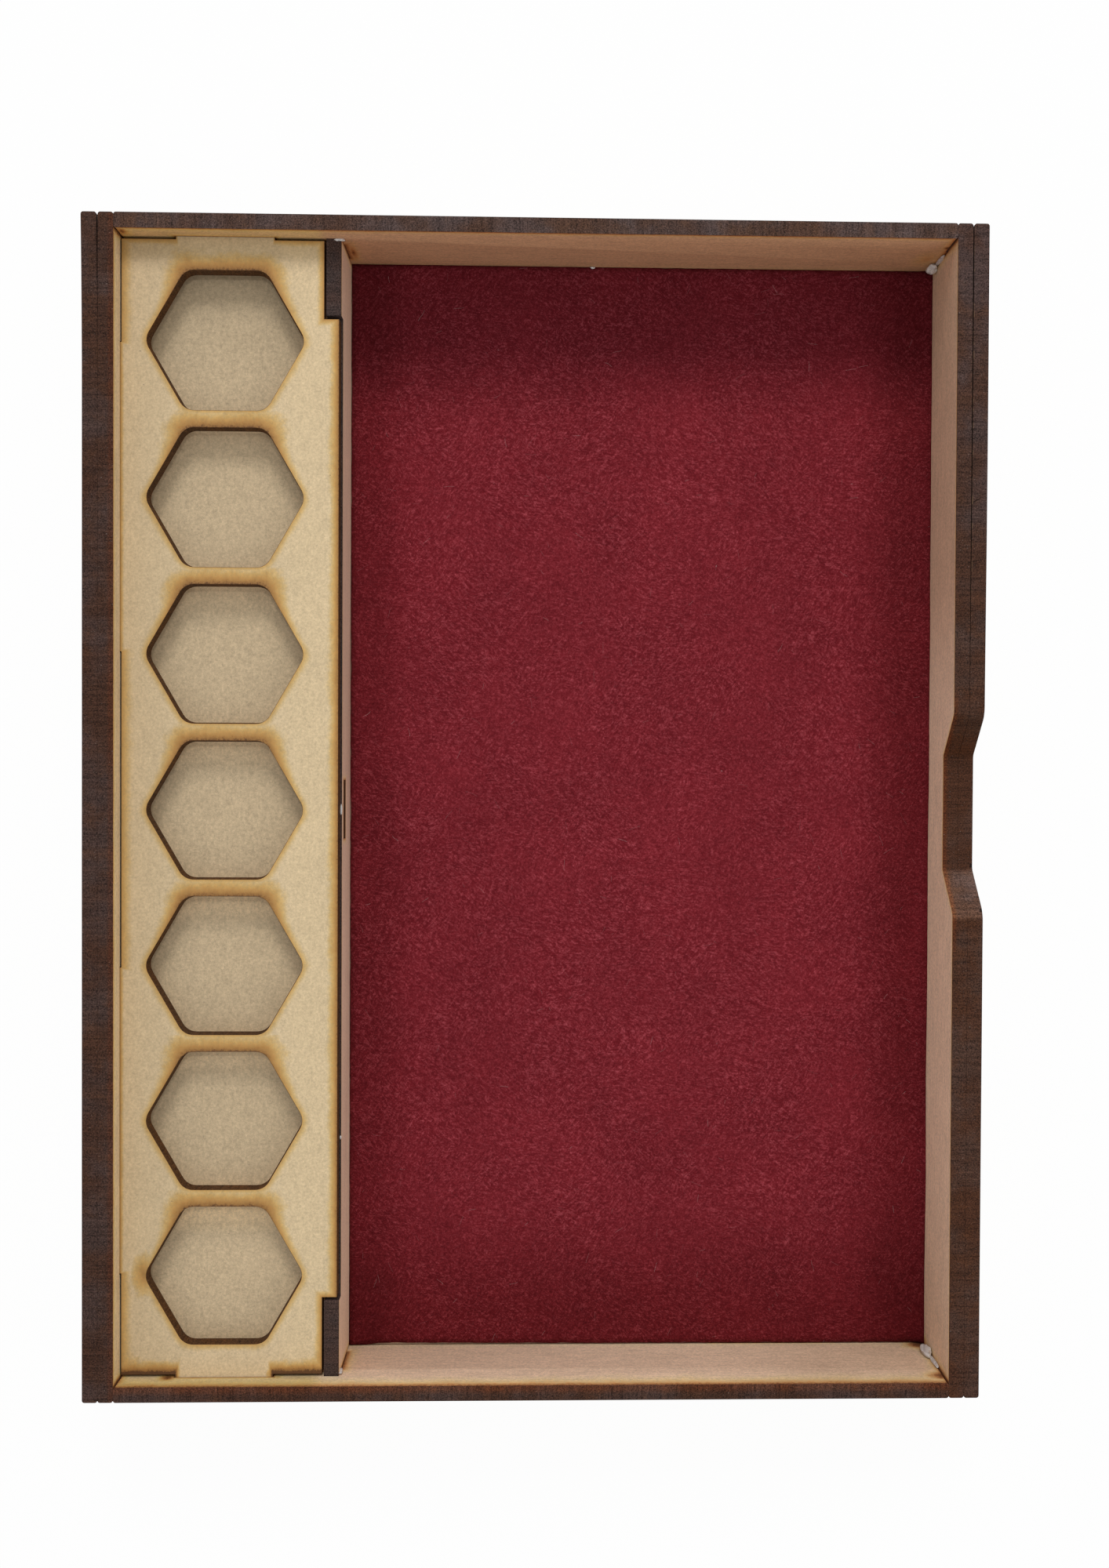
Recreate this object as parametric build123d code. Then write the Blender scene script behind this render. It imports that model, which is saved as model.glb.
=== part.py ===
"""Dice storage box: an open tray of sheet-cut boards with a strip of seven hexagonal wells.

Millimetres, +Z up. The origin is the middle of the underside. X runs across the box, from the
strip with the wells on the left to the felt-floored rolling tray on the right, and Y runs along it.
"""
import os

from build123d import *

# Boards and how they fit
board = 3.0                 # thickness of every board
glue_line = 0.2             # between the two boards of a side wall
slot_gap = 0.1              # between a tab and each edge of its slot
end_round = 0.5             # upright edges at the ends of the wall boards

# Whole box
box_width = 177.0           # across both side walls
box_length = 232.0          # over the front and back walls
box_height = 27.0           # underside to rim

# Storage strip
strip_width = 40.4          # left wall to divider
plate_drop = 5.5            # rim down to the plate with the wells
plate_gap = 0.5             # between a lying board and the walls, away from its tabs
plate_setback = 0.4         # edge of the plate back from the tray face of the divider
well_sides = 6
well_flats = 27.5           # across the flats of a well
well_web = 3.4              # board left between two wells
well_end_margin = 4.0       # least board left past the last well
well_round = 3.2            # corners of a well
well_offset = 0.4           # line of the wells, right of the middle of the strip
well_depth = 6.0            # top of the plate to the floor under the wells

# Tabs of the two lying boards in the strip
side_tab_length = 61.0
side_tab_place = 61.75      # middle of the box to the middle of a side tab
end_tab_length = 19.4
floor_tab_length = 11.5     # tab of the well floor that passes through the divider

# Divider
shoulder_length = 15.2      # raised end of the divider, beside the plate
shoulder_side_gap = 0.35    # plate to the long side of a shoulder
shoulder_end_gap = 0.65     # plate to the end of a shoulder
divider_tab_height = 9.0    # tab through the front and back walls
divider_tab_low = 8.0       # underside of the box to the bottom of that tab
divider_foot_length = 20.0  # tab down into the base
divider_foot_place = 50.0

# Outer joints
finger_height = 9.0         # finger of the front and back walls in the side walls
finger_low = 9.0
base_end_tab_length = 25.0
base_end_tab_place = 50.0
base_side_tab_length = 25.0
base_side_tab_place = 75.0

# Finger notch in the right wall
notch_depth = 8.75
notch_rim_width = 39.0
notch_floor_width = 23.0
notch_rim_round = 4.0
notch_floor_round = 1.5

# Felt
felt_thickness = 1.0
felt_gap = 0.3

same_place = 1e-6           # two places closer than this are the same one

# Places that follow from the sizes above
outer_x = box_width / 2
outer_y = box_length / 2
layer_x = outer_x - board - glue_line       # outer face of the inner board of a side wall
inner_x = layer_x - board
inner_y = outer_y - board
plate_top = box_height - plate_drop
plate_z = (plate_top - board, plate_top)
floor_top = plate_top - well_depth
floor_z = (floor_top - board, floor_top)
divider_x = (strip_width - inner_x, strip_width - inner_x + board)
divider_tab_z = (divider_tab_low, divider_tab_low + divider_tab_height)
finger_z = (finger_low, finger_low + finger_height)
wells_x = strip_width / 2 + well_offset - inner_x
well_pitch = well_flats + well_web
well_room = 2 * (inner_y - plate_gap - well_end_margin)
well_count = int((well_room + well_web) // well_pitch)
shoulder_y = inner_y - shoulder_length      # where a shoulder begins


def span(middle, length):
    """Two ends of a length about its middle."""
    return (middle - length / 2, middle + length / 2)


def pair(place, length):
    """The same span on both sides of the middle."""
    return [span(-place, length), span(place, length)]


def eased(ends, gap=slot_gap):
    """A span grown by a gap at both ends."""
    return (ends[0] - gap, ends[1] + gap)


def area(across, along):
    """Flat rectangle between two spans."""
    width, length = across[1] - across[0], along[1] - along[0]
    return Pos(across[0] + width / 2, along[0] + length / 2) * Rectangle(width, length)


def both_ways(across, along):
    """The rectangle and its mirror image about the middle of the board."""
    mirrored = (-across[1], -across[0])
    return area(across, along) + area(mirrored, along)


def lying(outline, bottom):
    """A board that lies flat with its underside at a height."""
    return extrude(Plane.XY.offset(bottom) * outline, amount=board)


def standing(outline, left_face):
    """A board that stands along Y, drawn as Y and Z."""
    return extrude(Plane.YZ.offset(left_face) * outline, amount=board)


def side_board(outline, left_face):
    """A board of a side wall, with the upright edges at its ends rounded."""
    wall = standing(outline, left_face)
    return fillet([e for e in wall.edges().filter_by(Axis.Z)
                   if abs(abs(e.center().Y) - outer_y) < same_place], end_round)


def end_board(outline, front_face):
    """The front or back wall, drawn as X and Z, with the upright edges at its ends rounded."""
    back = Plane(origin=(0, front_face + board, 0), x_dir=(1, 0, 0), z_dir=(0, -1, 0))
    wall = extrude(back * outline, amount=board)
    return fillet([e for e in wall.edges().filter_by(Axis.Z)
                   if abs(abs(e.center().X) - inner_x) < same_place], end_round)


def base_outline():
    """Floor of the box with its tabs and the slots for the feet of the divider."""
    outline = area((-inner_x, inner_x), (-inner_y, inner_y))
    for along in (-base_side_tab_place, 0, base_side_tab_place):
        outline += both_ways((inner_x, layer_x), span(along, base_side_tab_length))
    for across in pair(base_end_tab_place, base_end_tab_length):
        outline += area(across, (-outer_y, outer_y))
    for along in pair(divider_foot_place, divider_foot_length):
        outline -= area(eased(divider_x), eased(along))
    return outline


def end_wall_outline():
    """Front or back wall, the same board twice."""
    outline = area((-inner_x, inner_x), (0, box_height))
    outline += both_ways((inner_x, layer_x), finger_z)
    end_tab = eased(span(wells_x, end_tab_length))
    for height in (plate_z, floor_z):
        outline -= area(end_tab, eased(height))
    outline -= area(eased(divider_x), eased(divider_tab_z))
    for across in pair(base_end_tab_place, base_end_tab_length):
        outline -= area(eased(across), (0, board + slot_gap))
    return outline


def side_wall_outline(notched):
    """Whole board of a side wall, with or without the finger notch in its rim."""
    foot = [(-outer_y, 0), (outer_y, 0), (outer_y, box_height)]
    if not notched:
        return Polygon(*foot, (-outer_y, box_height), align=None)
    rim, floor = notch_rim_width / 2, notch_floor_width / 2
    notch_z = box_height - notch_depth
    dip = [(rim, box_height), (floor, notch_z), (-floor, notch_z), (-rim, box_height)]
    outline = Polygon(*foot, *dip, (-outer_y, box_height), align=None)
    for half, height, radius in ((rim, box_height, notch_rim_round), (floor, notch_z, notch_floor_round)):
        corners = [v for v in outline.vertices()
                   if abs(abs(v.X) - half) < same_place and abs(v.Y - height) < same_place]
        outline = fillet(corners, radius)
    return outline


def inner_wall_outline(notched):
    """Inner board of a side wall, with the openings that the other boards reach into."""
    outline = side_wall_outline(notched)
    outline -= both_ways((inner_y - slot_gap, outer_y), eased(finger_z))
    for along in (-base_side_tab_place, 0, base_side_tab_place):
        outline -= area(eased(span(along, base_side_tab_length)), (0, board + slot_gap))
    return outline


def left_inner_outline():
    """Inner board of the left wall, slotted for the two lying boards of the strip."""
    outline = inner_wall_outline(notched=False)
    for along in pair(side_tab_place, side_tab_length):
        for height in (plate_z, floor_z):
            outline -= area(eased(along), eased(height))
    return outline


def divider_outline():
    """Board between the strip and the tray, with a raised shoulder at each end."""
    outline = area((-inner_y, inner_y), (board, plate_z[0]))
    outline += both_ways((shoulder_y, inner_y), (board, plate_top))
    outline += both_ways((inner_y, outer_y), divider_tab_z)
    for along in pair(divider_foot_place, divider_foot_length):
        outline += area(along, (0, board))
    outline -= area(eased(span(0, floor_tab_length)), eased(floor_z))
    return outline


def strip_board_outline(right_edge):
    """Lying board of the strip with the tabs that hold it in the left, front and back walls."""
    edge_y = inner_y - plate_gap
    left_edge = plate_gap - inner_x
    outline = area((left_edge, right_edge), (-edge_y, edge_y))
    for along in pair(side_tab_place, side_tab_length):
        outline += area((-layer_x, left_edge), along)
    outline += area(span(wells_x, end_tab_length), (-outer_y, outer_y))
    return outline


def well_floor_outline():
    """Floor under the wells, with the tab that shows through the divider."""
    outline = strip_board_outline(divider_x[0] - plate_gap)
    return outline + area((wells_x, divider_x[1]), span(0, floor_tab_length))


def hex_plate_outline():
    """Plate with the row of wells, cut away round the shoulders of the divider."""
    outline = strip_board_outline(divider_x[1] - plate_setback)
    corner_x = (divider_x[0] - shoulder_side_gap, divider_x[1])
    outline -= area(corner_x, (shoulder_y - shoulder_end_gap, outer_y))
    outline -= area(corner_x, (-outer_y, shoulder_end_gap - shoulder_y))
    well = RegularPolygon(well_flats / 2, well_sides, major_radius=False)
    well = fillet(well.vertices(), well_round)
    for number in range(well_count):
        along = (number - (well_count - 1) / 2) * well_pitch
        outline -= Pos(wells_x, along) * well
    return outline


def felt_lining():
    """Sheet of felt on the floor of the tray."""
    outline = area((divider_x[1] + felt_gap, inner_x - felt_gap), (felt_gap - inner_y, inner_y - felt_gap))
    return extrude(Plane.XY.offset(board) * outline, amount=felt_thickness)


pieces = {
    "base_panel": lying(base_outline(), 0),
    "front_wall": end_board(end_wall_outline(), -outer_y),
    "back_wall": end_board(end_wall_outline(), inner_y),
    "left_inner_wall": side_board(left_inner_outline(), -layer_x),
    "left_outer_wall": side_board(side_wall_outline(notched=False), -outer_x),
    "right_inner_wall": side_board(inner_wall_outline(notched=True), inner_x),
    "right_outer_wall": side_board(side_wall_outline(notched=True), outer_x - board),
    "divider": standing(divider_outline(), divider_x[0]),
    "well_floor": lying(well_floor_outline(), floor_z[0]),
    "hex_plate": lying(hex_plate_outline(), plate_z[0]),
    "felt_lining": felt_lining(),
}

os.makedirs("parts", exist_ok=True)
for node, shape in pieces.items():
    shape.label = node
    export_step(shape, f"parts/{node}.step")
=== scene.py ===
"""Dice storage box: the finish of its boards, its felt, glue and lint, and the studio it stands in.

Metres, +Z up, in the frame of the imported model. X runs across the box, from the strip with the
wells to the tray, and Y runs along it. Sizes of the box are given in millimetres and times MM.
"""
import logging
import math
from dataclasses import dataclass, replace
from enum import Enum
from functools import partialmethod, reduce
from typing import Callable, Optional, Union

import bmesh
import bpy
from bpy.types import Material, NodeSocket, NodeTree, Object
from mathutils import Euler, Matrix, Vector, noise


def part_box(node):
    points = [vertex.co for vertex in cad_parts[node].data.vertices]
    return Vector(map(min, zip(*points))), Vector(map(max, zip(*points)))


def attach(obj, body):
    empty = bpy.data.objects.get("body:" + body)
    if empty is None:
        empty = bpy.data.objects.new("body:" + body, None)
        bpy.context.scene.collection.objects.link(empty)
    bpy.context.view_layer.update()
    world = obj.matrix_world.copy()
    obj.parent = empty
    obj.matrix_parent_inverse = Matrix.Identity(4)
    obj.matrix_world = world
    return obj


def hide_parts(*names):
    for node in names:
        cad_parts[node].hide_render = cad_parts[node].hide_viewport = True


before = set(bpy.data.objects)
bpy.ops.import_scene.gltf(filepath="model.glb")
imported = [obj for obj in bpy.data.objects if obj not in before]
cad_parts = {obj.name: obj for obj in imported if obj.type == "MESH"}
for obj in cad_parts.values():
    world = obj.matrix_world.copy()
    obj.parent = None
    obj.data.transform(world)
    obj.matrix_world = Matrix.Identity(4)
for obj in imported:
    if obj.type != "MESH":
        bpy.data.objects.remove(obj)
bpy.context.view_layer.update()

MM = 0.001
BODY = "root"
WHITE = (1, 1, 1, 1)
LOG = logging.getLogger("dice_storage_box")

Span = tuple[float, float]
Point = tuple[float, float, float]
Colour = Point
Number = Union[float, "Value"]
Paint = Union[Colour, NodeSocket]
Stops = tuple[tuple[float, Colour], ...]


class Across(Enum):
    """The way a board's thickness runs: its axis, and how streaks and specks are stretched along its face."""

    X = (0, (1.4, 0.16, 1.4), (1, 0.55, 1.3))
    Y = (1, (0.16, 1.4, 1.4), (0.55, 1, 1.3))
    Z = (2, (1.3, 0.6, 1), (0.8, 1.2, 1))


@dataclass(frozen=True)
class Value:
    """A number socket that takes arithmetic: an expression adds its Math nodes."""

    tree: "Tree"
    socket: NodeSocket

    def _math(self, operation: str, *others: Number, swapped: bool = False) -> "Value":
        """Adds one Math node.

        Args:
            operation: The node's operation.
            others: What follows this value.
            swapped: True to put this value second.

        Returns:
            The node's result.
        """
        terms = (*others, self) if swapped else (self, *others)
        return Value(self.tree, self.tree.out("Math", dict(enumerate(terms)), operation=operation))

    __add__ = __radd__ = partialmethod(_math, "ADD")
    __sub__ = partialmethod(_math, "SUBTRACT")
    __rsub__ = partialmethod(_math, "SUBTRACT", swapped=True)
    __mul__ = __rmul__ = partialmethod(_math, "MULTIPLY")
    __truediv__ = partialmethod(_math, "DIVIDE")
    __pow__ = partialmethod(_math, "POWER")
    __abs__ = partialmethod(_math, "ABSOLUTE")
    least = partialmethod(_math, "MINIMUM")
    most = partialmethod(_math, "MAXIMUM")
    whole = partialmethod(_math, "ROUND")
    most_rounded = partialmethod(_math, "SMOOTH_MAX")

    def clamped(self, low: float = 0, high: float = 1) -> "Value":
        """The value held between two limits."""
        return self.most(low).least(high)

    def step(self, low: float, high: float) -> "Value":
        """0 up to low, 1 from high on, and smooth between them. low may be the larger one."""
        share = ((self - low) * (1 / (high - low))).clamped()
        return share * share * (3 - 2 * share)


class Tree:
    """Adds nodes to a shader or geometry tree."""

    def __init__(self, tree: NodeTree) -> None:
        """Empties the tree to fill."""
        self.tree = tree
        tree.nodes.clear()

    def node(self, kind: str, sockets: Optional[dict] = None, **settings: object) -> bpy.types.Node:
        """Adds any node.

        Args:
            kind: The node's type. A shader node's goes without ShaderNode.
            sockets: Values or links for its inputs, by name or number.
            settings: Its properties, set first.

        Returns:
            The node.
        """
        made = self.tree.nodes.new(kind if "Node" in kind else f"ShaderNode{kind}")
        for name, setting in settings.items():
            setattr(made, name, setting)
        for key, value in (sockets or {}).items():
            given = value.socket if isinstance(value, Value) else value
            if isinstance(given, NodeSocket):
                self.tree.links.new(given, made.inputs[key])
            else:
                made.inputs[key].default_value = given
        return made

    def out(self, kind: str, sockets: Optional[dict] = None, **settings: object) -> NodeSocket:
        """Adds a node for its first output."""
        return self.node(kind, sockets, **settings).outputs[0]

    def _paired(self, vector: NodeSocket, other: Union[Point, NodeSocket], operation: str) -> NodeSocket:
        """Two vectors combined part by part."""
        return self.out("VectorMath", {0: vector, 1: other}, operation=operation)

    scaled = partialmethod(_paired, operation="MULTIPLY")
    shifted = partialmethod(_paired, operation="ADD")

    def brightened(self, colour: Paint, gain: Number) -> NodeSocket:
        """A colour or a vector times a number."""
        return self.out("VectorMath", {0: colour, "Scale": gain}, operation="SCALE")

    def noise(self, vector: NodeSocket, scale: float, detail: float = 2, rough: float = 0.5) -> Value:
        """Noise about 0.5, with so many features for one unit of the vector."""
        sockets = {"Vector": vector, "Scale": scale, "Detail": detail, "Roughness": rough}
        return Value(self, self.out("TexNoise", sockets))

    def bent(self, vector: NodeSocket, scale: float, reach: float) -> NodeSocket:
        """A vector shifted by noise of about that reach."""
        made = self.node("TexNoise", {"Vector": vector, "Scale": scale, "Detail": 2.0}).outputs[1]
        return self.shifted(vector, self.scaled(self.shifted(made, (-0.5,) * 3), (reach,) * 3))

    def specks(self, vector: NodeSocket, spacing: float, radius: float, share: float) -> Value:
        """Small spots, one in some of the cells of a grid.

        Args:
            vector: Where they are read.
            spacing: Size of a cell.
            radius: Radius of a spot.
            share: Share of the cells that hold one.

        Returns:
            1 inside a spot and 0 outside.
        """
        made = self.node("TexVoronoi", {"Vector": vector, "Scale": 1 / spacing})
        chosen = self.node("SeparateColor", {0: made.outputs["Color"]})
        present = Value(self, chosen.outputs[0]).step(share + 0.01, share - 0.01)
        size = 0.35 + 0.65 * Value(self, chosen.outputs[1])
        distance = Value(self, made.outputs["Distance"])
        return distance.step(radius / spacing, 0.3 * radius / spacing) * present * size

    def blend(self, factor: Number, first: Paint, second: Paint, how: str = "MIX") -> NodeSocket:
        """Two colours mixed by the share of the second one."""
        pair = [c if isinstance(c, NodeSocket) else (*c, 1) for c in (first, second)]
        return self.node("Mix", {0: factor, 6: pair[0], 7: pair[1]}, data_type="RGBA", blend_type=how).outputs[2]

    def ramp(self, factor: Value, stops: Stops) -> NodeSocket:
        """A colour ramp.

        Args:
            factor: Where it is read.
            stops: Pairs of a place and a colour.

        Returns:
            The colour.
        """
        made = self.node("ValToRGB", {0: factor})
        for _ in stops[2:]:
            made.color_ramp.elements.new(1)
        for element, (place, colour) in zip(made.color_ramp.elements, stops):
            element.position, element.color = place, (*colour, 1)
        return made.outputs[0]


class Surface(Tree):
    """A material's tree, with the point on the object in millimetres."""

    def __init__(self, name: str) -> None:
        """Starts a material.

        Args:
            name: The material's name.
        """
        self.material = bpy.data.materials.new(name)
        self.material.use_nodes = True
        super().__init__(self.material.node_tree)
        self.place = self.scaled(self.node("TexCoord").outputs["Object"], (1 / MM,) * 3)
        self.x, self.y, self.z = (Value(self, o) for o in self.node("SeparateXYZ", {0: self.place}).outputs)

    def stretched(self, axis: int, through: float, along: float) -> NodeSocket:
        """The point with another scale through a board than along it."""
        return self.scaled(self.place, tuple(through if number == axis else along for number in range(3)))

    def finish(self, colour: Paint, rough: Number, gloss: float, bump: Optional[Value] = None, height: float = 0,
               **shader: float) -> Material:
        """Ends the tree in a Principled shader.

        Args:
            colour: Its base colour.
            rough: Its roughness.
            gloss: Its specular level.
            bump: Height from 0 to 1.
            height: What 1 stands for, in millimetres.
            shader: Values of other sockets, with _ for a space.

        Returns:
            The material.
        """
        sockets = {"Base Color": colour, "Roughness": rough, "Specular IOR Level": gloss}
        sockets.update({name.replace("_", " "): value for name, value in shader.items()})
        if bump is not None:
            sockets["Normal"] = self.out("Bump", {"Distance": height * MM, "Height": bump})
        self.node("OutputMaterial", {0: self.out("BsdfPrincipled", sockets)})
        return self.material


class Side(Enum):
    """A side of a board's face: the coordinate that it is a limit of, and the way to the board."""

    LEFT = (0, 1)
    RIGHT = (0, -1)
    LOW = (1, 1)
    HIGH = (1, -1)


LEFT, RIGHT, LOW, HIGH = Side


@dataclass(frozen=True)
class Spot:
    """A spot on a board's face: its coordinates in millimetres, and an uneven factor about 1."""

    first: Value
    second: Value
    wander: Value


@dataclass(frozen=True)
class Sear:
    """Browning beside a cut: how far it reaches in millimetres, and how strong it is at the cut."""

    reach: float = 1.6
    strength: float = 1

    def heat(self, distance: Value, at: Spot) -> Value:
        """Strength at a distance from the cut, falling to 0."""
        return (1 - distance.most(0) * at.wander / self.reach).clamped() * self.strength


class Cut:
    """Anything that browned a face. Its sizes are in millimetres along the face."""

    def heat(self, at: Spot) -> Value:
        """How far the face is browned.

        Args:
            at: The spot to tell it for.

        Returns:
            0 where the face is clean, up to 1 at the cut.
        """
        raise NotImplementedError


Cuts = tuple[Cut, ...]


def past(value: Value, stretch: Span) -> Value:
    """How far a value lies past the ends of a stretch."""
    return abs(value - sum(stretch) / 2) - (stretch[1] - stretch[0]) / 2


@dataclass(frozen=True)
class Edge(Cut):
    """A straight side of a board, or a stretch of one with a short fade sideways."""

    side: Side
    place: float
    sear: Sear = Sear()
    stretch: Optional[Span] = None
    sideways: float = 3

    def heat(self, at: Spot) -> Value:
        """Browning beside the side. See Cut.heat."""
        which, inward = self.side.value
        along = (at.first, at.second)
        distance = (along[which] - self.place) * inward
        if self.stretch is not None:
            distance = distance.most(past(along[1 - which], self.stretch) * self.sideways)
        return self.sear.heat(distance, at)


@dataclass(frozen=True)
class Slot(Cut):
    """A rectangle cut through a board. A mirrored one stands on both sides, at a positive place."""

    middle: Span
    half: Span
    mirrored: bool = False
    sear: Sear = Sear()

    def heat(self, at: Spot) -> Value:
        """Browning round the slot. See Cut.heat."""
        first = abs(at.first) if self.mirrored else at.first
        beyond = abs(first - self.middle[0]) - self.half[0]
        return self.sear.heat(beyond.most(abs(at.second - self.middle[1]) - self.half[1]), at)


@dataclass(frozen=True)
class Burn(Cut):
    """A scorched spot."""

    middle: Span
    half: Span
    strength: float = 1

    def heat(self, at: Spot) -> Value:
        """Browning round its middle. See Cut.heat."""
        across = (at.first - self.middle[0]) * (1 / self.half[0])
        up = (at.second - self.middle[1]) * (1 / self.half[1])
        return (1 - (across * across + up * up) ** 0.5 * at.wander).clamped() ** 0.6 * self.strength


@dataclass(frozen=True)
class Notch(Cut):
    """The finger notch in the rim of a side wall."""

    sear: Sear = Sear(1.4)
    rim_half: float = 19.5
    floor_half: float = 11.5
    floor: float = 18.25
    rim: float = 27

    def heat(self, at: Spot) -> Value:
        """Browning beside the notch. See Cut.heat."""
        run, rise = self.rim_half - self.floor_half, self.rim - self.floor
        slant = math.hypot(run, rise)
        slope = (abs(at.first) - self.floor_half) * (rise / slant) - (at.second - self.floor) * (run / slant)
        return self.sear.heat(slope.most(self.floor - at.second), at)


@dataclass(frozen=True)
class Wells(Cut):
    """The row of hexagonal wells in the plate. Smoke drifted from each one towards the back of the box."""

    x: float = -61.7
    pitch: float = 30.9
    flats: float = 27.5
    last: int = 3
    corner_reach: float = 3
    web: float = 3.4
    drift: Sear = Sear(4.4)
    lee: Sear = Sear(1.5, 0.62)

    def nearest(self, along: Value) -> Value:
        """Number of the well nearest to a place along the row, from the middle one."""
        return (along / self.pitch).whole().clamped(-self.last, self.last)

    def from_well(self, at: Spot, shift: float) -> tuple[Value, Value]:
        """Where a spot lies beside the well of its stretch of the plate.

        Args:
            at: The spot.
            shift: How far the stretches are moved back.

        Returns:
            Distance from the well, and how far behind the well's middle the spot lies.
        """
        up = at.second - self.nearest(at.second - shift) * self.pitch
        side, rise = abs(at.first - self.x), abs(up)
        lean = side * math.cos(math.pi / 6)
        point = (lean + rise * 0.5).most_rounded(lean - rise * 0.5, self.corner_reach)
        return point.most_rounded(rise, self.corner_reach) - self.flats / 2, up

    def heat(self, at: Spot) -> Value:
        """Browning beside the wells. See Cut.heat."""
        distance, up = self.from_well(at, self.web / 2)
        leeward = (up * (2 / self.flats)).clamped()
        reach = self.lee.reach + (self.drift.reach - self.lee.reach) * leeward ** 3
        smoke = (1 - distance.most(0) * at.wander / reach).clamped() * leeward ** 0.4 * self.drift.strength
        return smoke.most(self.lee.heat(self.from_well(at, 0)[0], at))


@dataclass(frozen=True)
class Wash:
    """A broad tint over a stretch of one axis, fading past its ends, in millimetres. Some are stains and burnt tone;
    many are painted light and shade.
    """

    axis: int
    stretch: Span
    fade: float
    tint: Colour
    within: Optional["Wash"] = None

    def share(self, s: Surface) -> Value:
        """1 in the tinted stretch and 0 outside it."""
        share = past((s.x, s.y, s.z)[self.axis], self.stretch).step(self.fade, 0)
        return share if self.within is None else share * self.within.share(s)

    def over(self, s: Surface, colour: Paint) -> NodeSocket:
        """A colour with the tint on it."""
        return s.blend(self.share(s), colour, self.tint, "MULTIPLY")


@dataclass(frozen=True)
class PaintedWellLight:
    """Painted light on the floor of each well: lighter at its back, which the plate's edge shades, and more so in the
    front wells, in millimetres.
    """

    wells: Wells
    grows: Span = (7, 11)
    fades: Span = (100, -20)
    tint: Colour = (1.34, 1.32, 1.29)

    def over(self, s: Surface, colour: Paint) -> NodeSocket:
        """A colour with the painted light on it."""
        share = (s.y - self.wells.nearest(s.y) * self.wells.pitch).step(*self.grows) * s.y.step(*self.fades)
        return s.blend(share, colour, self.tint, "MULTIPLY")


Washes = tuple[Union[Wash, PaintedWellLight], ...]


def washed(s: Surface, colour: Paint, washes: Washes) -> Paint:
    """A colour with every tint on it, in order: stains, and painted light and shade."""
    return reduce(lambda below, wash: wash.over(s, below), washes, colour)


WALL_SEAR: Stops = (
    (0, (1, 1, 1)), (0.3, (1.01, 1.04, 0.96)), (0.55, (1.02, 1.04, 0.82)), (0.72, (0.94, 0.84, 0.55)),
    (0.86, (0.7, 0.46, 0.24)), (1, (0.24, 0.12, 0.06)),
)


@dataclass(frozen=True)
class FaceFinish:
    """The smooth face of a sheet of fibreboard, browned beside the cuts."""

    colour: Colour = (0.63, 0.485, 0.3)
    speck_colour: Colour = (0.16, 0.12, 0.09)
    sear_stops: Stops = (
        (0, (1, 1, 1)), (0.15, (0.98, 0.96, 0.9)), (0.35, (0.93, 0.83, 0.59)), (0.5, (0.87, 0.71, 0.41)),
        (0.65, (0.78, 0.57, 0.29)), (0.8, (0.62, 0.41, 0.19)), (0.93, (0.42, 0.26, 0.12)), (1, (0.16, 0.09, 0.05)),
    )
    mottle: float = 0.12
    grain: float = 1
    streaks: float = 0.4
    speck_share: float = 0.3
    washes: Washes = ()
    glued_at: Optional[float] = None
    glued_colour: Colour = (0.05, 0.028, 0.018)

    def made(self, name: str, across: Across, cuts: Cuts) -> Material:
        """Builds the material.

        Args:
            name: The board's name.
            across: The way its thickness runs.
            cuts: What browned it.

        Returns:
            The material.
        """
        s = Surface(f"{name}_face")
        axis, streak_scale, speck_scale = across.value
        cloudy = s.noise(s.place, 0.09, 3)
        grain = s.noise(s.place, 1.9, 4, 0.85)
        bent = s.bent(s.place, 0.25, 1.6)
        streaks = s.noise(s.scaled(bent, streak_scale), 1, 3, 0.6)
        gain = 1 + (cloudy - 0.5) * self.mottle + (grain - 0.5) * self.grain + (streaks - 0.5) * self.streaks
        colour = s.brightened(self.colour, gain)
        # Stains, and painted light and shade, from the board's washes.
        colour = washed(s, colour, self.washes)

        spread = s.scaled(bent, speck_scale)
        dots = s.specks(spread, 4.2, 0.2, self.speck_share).most(s.specks(spread, 1.7, 0.1, 0.25) * 0.45)
        colour = s.blend(dots * 0.75, colour, self.speck_colour)

        drift = s.noise(s.place, 0.13, 3, 0.6)
        wander = 0.55 + 0.9 * drift + (s.noise(s.place, 0.8, 4, 0.7) - 0.5) * 0.7
        first, second = (c for number, c in enumerate((s.x, s.y, s.z)) if number != axis)
        heat = reduce(Value.most, (c.heat(Spot(first, second, wander)) for c in cuts))
        heat = (heat + heat * (grain - 0.5) * 0.8).clamped()
        colour = s.blend(1, colour, s.ramp(heat, self.sear_stops), "MULTIPLY")
        if self.glued_at is not None:
            off = abs(s.x) - self.glued_at
            colour = s.blend(off.step(-0.3, -0.2) * off.step(0.3, 0.2), colour, self.glued_colour)
        return s.finish(colour, 0.66 + (grain - 0.5) * 0.2, 0.3, grain + streaks * 0.5, 0.02)


@dataclass(frozen=True)
class Crack:
    """A short crack across a charred edge, in millimetres: from where it starts, how far and how steeply."""

    start: Span
    length: float
    slope: float = 0
    half_width: float = 0.09

    def depth(self, s: Surface) -> Value:
        """How deep the crack is.

        Args:
            s: The edge that it runs across.

        Returns:
            1 in the crack and 0 beside it.
        """
        x, y = s.x - self.start[0], s.y - self.start[1]
        off = abs(y - x * self.slope)
        within = x.step(-0.15, 0.05) * x.step(self.length, self.length * 0.6)
        return off.step(self.half_width * 1.6, self.half_width * 0.5) * within


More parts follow.
